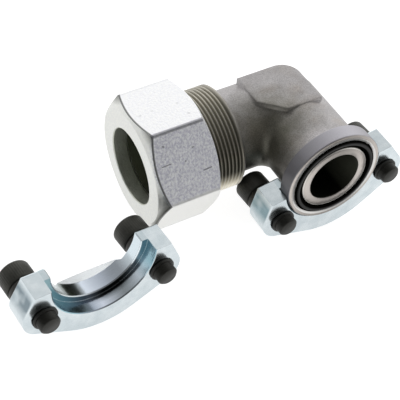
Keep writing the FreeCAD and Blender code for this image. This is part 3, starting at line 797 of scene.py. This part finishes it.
def screw_oxide(name, origin, axis, foot, tip):
    """Blackened screw with a knurled head and a plain tip.

    foot and tip are the heights of the head's underside and of the screw's
    end, along the axis from origin.
    """
    finish, colour, normal, roughness = blackened(name)
    height, reach = finish.axis_place(origin, axis)
    on_tip = finish.inside(height, tip + 0.1 * MM, 0.1 * MM)
    colour = finish.mix(on_tip, colour, SCREW_TIP_TONE)
    shank = finish.product(
        finish.inside(reach, SCREW_RADIUS + 0.1 * MM, 0.1 * MM),
        finish.ramp(height, tip + 0.1 * MM, tip + 0.3 * MM),
        0.8,
    )
    colour = finish.mix(shank, colour, SCREW_SHANK_TONE)

    side = axis.orthogonal().normalized()
    offset = finish.vector("SUBTRACT", finish.place, origin)
    angle = finish.math("ARCTAN2", finish.dot(offset, side), finish.dot(offset, axis.cross(side)))
    knurling = finish.product(
        finish.math("SINE", finish.product(angle, KNURLS)),
        finish.ramp(reach, CAP_RADIUS - 0.2 * MM, CAP_RADIUS - 0.1 * MM),
        finish.ramp(height, foot + 1.0 * MM, foot + 1.4 * MM),
        finish.inside(height, foot + CAP_HEIGHT - 1.6 * MM, 0.4 * MM),
    )
    normal = finish.bump(knurling, 0.04 * MM, normal)
    return finish.surface(Base_Color=colour, Roughness=roughness, Normal=normal)


# ------------------------------------------------------------------- meshes


def thread_depth(phase):
    """Share of the thread's depth, over one pitch from the middle of a crest."""
    x = phase % 1.0
    on_flank = (min(x, 1 - x) - CREST_SHARE / 2) / FLANK_SHARE
    return min(max(on_flank, 0.0), 1.0)


def add_thread(mesh, place, radius, pitch, crest, start, end, run_in, run_out, segments):
    """Add a right-hand thread round the Z axis of a placement to a bmesh.

    crest is the height of one of its crests on the placement's X side.
    """
    depth = pitch * DEPTH_PER_PITCH
    turns = range(math.floor((start - crest) / pitch) - 2, math.ceil((end - crest) / pitch) + 1)
    columns = []
    for step in range(segments):
        angle = 2 * math.pi * step / segments
        heights = [start]
        for turn in turns:
            for corner in THREAD_CORNERS:
                height = crest + (turn + corner + step / segments) * pitch
                heights.append(min(max(height, start), end))
        heights.append(end)
        column = []
        for height in heights:
            fade = min(1.0, (height - start) / run_in, (end - height) / run_out)
            share = thread_depth((height - crest) / pitch - step / segments)
            reach = radius - depth * max(fade, 0.0) * share
            spot = Vector((reach * math.cos(angle), reach * math.sin(angle), height))
            column.append(mesh.verts.new(place @ spot))
        columns.append(column)
    for step, column in enumerate(columns):
        following = columns[(step + 1) % segments]
        # The helix has moved on by one whole turn where the columns close
        shift = len(THREAD_CORNERS) if step == segments - 1 else 0
        last = len(column) - 1
        for low in range(last):
            across = 0 if shift and low == 0 else min(low + shift, last)
            above = min(low + shift + 1, last)
            corners = (column[low], following[across], following[above], column[low + 1])
            unique = tuple(dict.fromkeys(corners))
            if len(unique) > 2:
                mesh.faces.new(unique)


def add_object(name, data):
    """New object of the scene with that mesh, light or camera."""
    item = bpy.data.objects.new(name, data)
    bpy.context.scene.collection.objects.link(item)
    return item


def threaded_copy(node, name, origin, axis, side, radius, thread):
    """Copy a CAD node's mesh, with a real thread in place of a plain cylinder.

    thread holds add_thread's settings, with heights along axis from origin;
    side is a direction square to the axis.
    """
    source = nodes[node]
    mesh = bmesh.new()
    mesh.from_mesh(source.data)
    bmesh.ops.remove_doubles(mesh, verts=mesh.verts, dist=0.002 * MM)
    axis = Vector(axis).normalized()
    side = Vector(side).normalized()
    turned = Matrix((side, axis.cross(side), axis)).transposed().to_4x4()
    place = Matrix.Translation(origin) @ turned
    back = place.inverted()
    low, high = thread["start"] - 0.05 * MM, thread["end"] + 0.05 * MM

    def on_cylinder(vertex):
        spot = back @ vertex.co
        return abs(math.hypot(spot.x, spot.y) - radius) < 0.03 * MM and low < spot.z < high

    plain = [face for face in mesh.faces if all(on_cylinder(vertex) for vertex in face.verts)]
    bmesh.ops.delete(mesh, geom=plain, context="FACES")
    add_thread(mesh, place, radius, **thread)
    bmesh.ops.remove_doubles(mesh, verts=mesh.verts, dist=0.001 * MM)
    bmesh.ops.recalc_face_normals(mesh, faces=mesh.faces)
    data = bpy.data.meshes.new(name)
    mesh.to_mesh(data)
    mesh.free()
    data.polygons.foreach_set("use_smooth", [True] * len(data.polygons))
    data.set_sharp_from_angle(angle=SHARP_ANGLE)
    piece = add_object(name, data)
    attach(piece, source["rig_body"])
    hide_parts(node)
    return piece


def cylinder(origin, axis, radius):
    """Function that gives a spot's distance from the surface, and the normal there."""

    def measure(spot):
        offset = spot - origin
        out = offset - axis * offset.dot(axis)
        return abs(out.length - radius), out.normalized()

    return measure


def torus(centre, axis, ring_radius, radius):
    """The same for a torus."""

    def measure(spot):
        offset = spot - centre
        flat = offset - axis * offset.dot(axis)
        out = offset - flat.normalized() * ring_radius
        return abs(out.length - radius), out.normalized()

    return measure


def exact_normals(piece, surfaces):
    """Shade the faces on these round surfaces with the surfaces' own normals."""
    mesh = piece.data
    normals = [corner.vector.copy() for corner in mesh.corner_normals]
    for face in mesh.polygons:
        spots = [mesh.vertices[index].co for index in face.vertices]
        for measure in surfaces:
            found = [measure(spot) for spot in spots]
            if all(off < 0.01 * MM and face.normal.dot(normal) > 0.9 for off, normal in found):
                for corner, (_, normal) in zip(face.loop_indices, found):
                    normals[corner] = normal
                break
    mesh.normals_split_custom_set(normals)


# ------------------------------------------------------------------- pieces


def dress(piece, material):
    """Give a piece its only material."""
    piece.data.materials.clear()
    piece.data.materials.append(material)


def threaded_elbow():
    """The elbow with its thread, its necks and bend shaded as exactly round."""
    elbow = threaded_copy(
        "elbow_body", "elbow_forging", ELBOW_CENTRE, TUBE_AXIS, (0, -1, 0), THREAD_RADIUS,
        {
            "pitch": THREAD_PITCH,
            "crest": THREAD_CREST,
            "start": THREAD_START,
            "end": THREAD_END,
            "run_in": 0.3 * MM,
            "run_out": 0.5 * MM,
            "segments": 160,
        },
    )
    exact_normals(elbow, (
        cylinder(Vector(PORT_CENTRE), Vector(PORT_AXIS), PORT_NECK_RADIUS),
        cylinder(Vector(ELBOW_CENTRE), Vector(TUBE_AXIS), TUBE_NECK_RADIUS),
        torus(Vector(BEND_MIDDLE), Vector(UPRIGHT), BEND_RADIUS, TUBE_NECK_RADIUS),
    ))
    return elbow


def dress_screw(name):
    """Thread and dress a cap screw; its joint's axis points from its tip to its head."""
    turn = joints[f"{name}_turn"]
    axis = Vector(turn["axis"])
    middle = Vector(turn["pos_m"])
    heights = [axis.dot(vertex.co - middle) for vertex in nodes[name].data.vertices]
    tip, top = min(heights), max(heights)
    thread_end = -tip - SCREW_CHAMFER
    screw = threaded_copy(
        name, f"{name}_threaded", middle, -axis, axis.orthogonal(), SCREW_RADIUS,
        {
            "pitch": SCREW_PITCH,
            "crest": 0.0,
            "start": thread_end - SCREW_THREAD_LENGTH,
            "end": thread_end,
            "run_in": SCREW_PITCH,
            "run_out": 0.4 * MM,
            "segments": 48,
        },
    )
    material = screw_oxide(f"{name}_oxide", middle, axis, top - CAP_HEIGHT, tip)
    dress(screw, material)


steel = phosphated_steel()
oxide = washer_oxide()
dress(threaded_elbow(), steel)
dress(nodes["union_nut"], zinc_nut())
dress(nodes["cutting_ring"], machined_steel())
dress(nodes["flange_o_ring"], nitrile())

# Each half's place, axis, upward direction and the tone of the painted shade on its ends
seated_up = (math.sin(SEATED_SWIVEL), 0.0, math.cos(SEATED_SWIVEL))
for prefix, *setting in (
    ("seated", SEATED_PLACE, PORT_AXIS, seated_up, (0.19, 0.29, 0.32)),
    ("loose", LOOSE_PLACE, LOOSE_AXIS, (0.0, 0.0, 1.0), (0.16, 0.21, 0.24)),
):
    zinc = zinc_half(f"zinc_half_{prefix}", *setting)
    dress(nodes[f"{prefix}_half"], zinc)
    for side in ("left", "right"):
        dress_screw(f"{prefix}_screw_{side}")
        dress(nodes[f"{prefix}_spring_washer_{side}"], oxide)
        dress(nodes[f"{prefix}_keeper_{side}"], oxide)


# -------------------------------------------------------------------- stage


def floor_material():
    """Pale matt floor that is seen and mirrored as white, and keeps the shadow."""
    finish = Finish("floor", Base_Color=FLOOR_COLOUR, Roughness=0.9, Specular_IOR_Level=0.0)
    path = finish.node("LightPath").outputs
    strength = finish.math(
        "ADD",
        finish.product(path["Is Camera Ray"], FLOOR_GLOW_SEEN),
        finish.product(path["Is Glossy Ray"], FLOOR_GLOW_MIRRORED),
    )
    glow = finish.node("Emission", {"Strength": strength}).outputs[0]
    both = finish.node("AddShader", {0: finish.shader.outputs[0], 1: glow}).outputs[0]
    finish.feed(finish.tree.nodes["Material Output"].inputs["Surface"], both)
    return finish.material


floor_mesh = bpy.data.meshes.new("floor")
floor_corners = [
    (x * FLOOR_REACH, y * FLOOR_REACH, cad_low.z) for x, y in ((-1, -1), (1, -1), (1, 1), (-1, 1))
]
floor_mesh.from_pydata(floor_corners, [], [(0, 1, 2, 3)])
floor_mesh.materials.append(floor_material())
floor = add_object("floor", floor_mesh)

softbox = bpy.data.lights.new("overhead", "AREA")
softbox.shape = "RECTANGLE"
softbox.size, softbox.size_y = OVERHEAD_SIZE
softbox.energy = OVERHEAD_ENERGY
overhead = add_object("overhead", softbox)
overhead.location = OVERHEAD_PLACE
downward = Vector(OBJECT_MIDDLE) - Vector(OVERHEAD_PLACE)
overhead.rotation_euler = downward.to_track_quat("-Z", "Y").to_euler()
overhead.visible_glossy = False

# The room is bright behind the object and dark on the photographer's side; the
# camera itself sees white
world = bpy.data.worlds.new("studio")
bpy.context.scene.world = world
world.use_nodes = True
room = Nodes(world.node_tree)
facing = room.dot(room.node("TexCoord").outputs["Generated"], DARK_SIDE)
greys = room.tones(facing, [(cosine, (level / ROOM_PEAK,) * 3) for cosine, level in ROOM_LEVELS])
seen = room.node("LightPath").outputs["Is Camera Ray"]
background = room.tree.nodes["Background"]
room.feed(background.inputs["Strength"], room.between(seen, room.product(greys, ROOM_PEAK), 1.0))
room.feed(background.inputs["Color"], (1, 1, 1, 1))

lens = bpy.data.cameras.new("photograph")
lens.lens = CAMERA_LENS
lens.sensor_width = CAMERA_SENSOR
lens.clip_start, lens.clip_end = 0.01, 20.0
camera = add_object("photograph", lens)
camera.location = CAMERA_PLACE
camera.rotation_euler = Euler([math.radians(turn) for turn in CAMERA_TURN])
bpy.context.scene.camera = camera
bpy.context.scene.view_settings.view_transform = "Standard"
